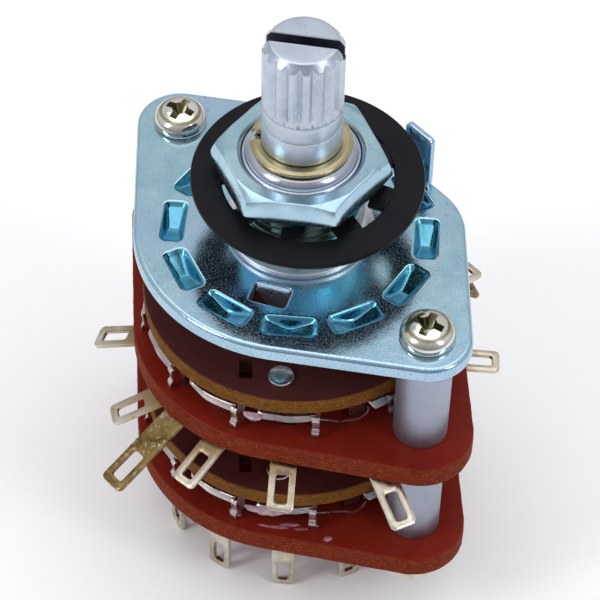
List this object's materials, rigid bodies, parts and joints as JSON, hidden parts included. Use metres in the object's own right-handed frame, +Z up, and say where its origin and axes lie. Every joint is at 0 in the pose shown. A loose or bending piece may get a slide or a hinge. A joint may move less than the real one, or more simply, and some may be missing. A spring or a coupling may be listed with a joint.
{
  "type": "rotary switch",
  "caption": "Open-frame multi-deck rotary switch with knurled slotted shaft, threaded bushing, pressed index plate, stacked phenolic boards and splayed solder lugs.",
  "frame": {"origin": "on the shaft axis in the top face of the index plate, where the threaded bushing leaves it", "axes": "+Z up the shaft towards the knob end, X through the two tie screws, Y completes a right-handed frame; the object stands on the tips of its lower solder lugs"},
  "size_m": [0.0378, 0.037, 0.0512],
  "materials": {
    "zinc_plate": "blue-white zinc plated sheet steel, satin",
    "zinc_nut": "blue-white zinc plated steel, bright",
    "aluminium": "turned aluminium, bright",
    "matte_aluminium": "matte aluminium tube",
    "clip_brass": "brass coloured spring ring, polished",
    "black_oxide": "black oxide steel, satin",
    "nickel": "bright nickel plated steel",
    "board_phenolic": "red-brown phenolic laminate, satin face with brown cut edge",
    "disc_phenolic": "dark red phenolic laminate with tan cut edge",
    "silvered_brass": "silver plated brass, slightly tarnished",
    "bare_brass": "tinned brass, tarnished brown"
  },
  "bodies": {
    "frame": {"index_plate": "zinc_plate", "bushing": "aluminium", "hex_nut": "zinc_nut", "lock_washer": "black_oxide", "tie_screws": "nickel", "upper_spacers": "matte_aluminium", "lower_spacers": "matte_aluminium", "tie_nuts": "nickel", "upper_board": "board_phenolic", "lower_board": "board_phenolic", "upper_terminals": "silvered_brass", "lower_terminals": "silvered_brass", "upper_common_terminals": "bare_brass", "lower_common_terminals": "bare_brass"},
    "rotor": {"shaft": "aluminium", "shaft_clip": "clip_brass", "detent_arm": "zinc_plate", "upper_sleeve": "matte_aluminium", "lower_sleeve": "matte_aluminium", "upper_rotor_disc": "disc_phenolic", "lower_rotor_disc": "disc_phenolic", "upper_rotor_blades": "silvered_brass", "lower_rotor_blades": "silvered_brass", "upper_rotor_rivets": "nickel", "lower_rotor_rivets": "nickel", "end_clip": "nickel"}
  },
  "joints": [
    {"name": "shaft_turn", "type": "hinge", "parent": "frame", "child": "rotor", "pos_m": [0, 0, 0], "axis": [0, 0, 1], "range_deg": [-90, 30]}
  ]
}
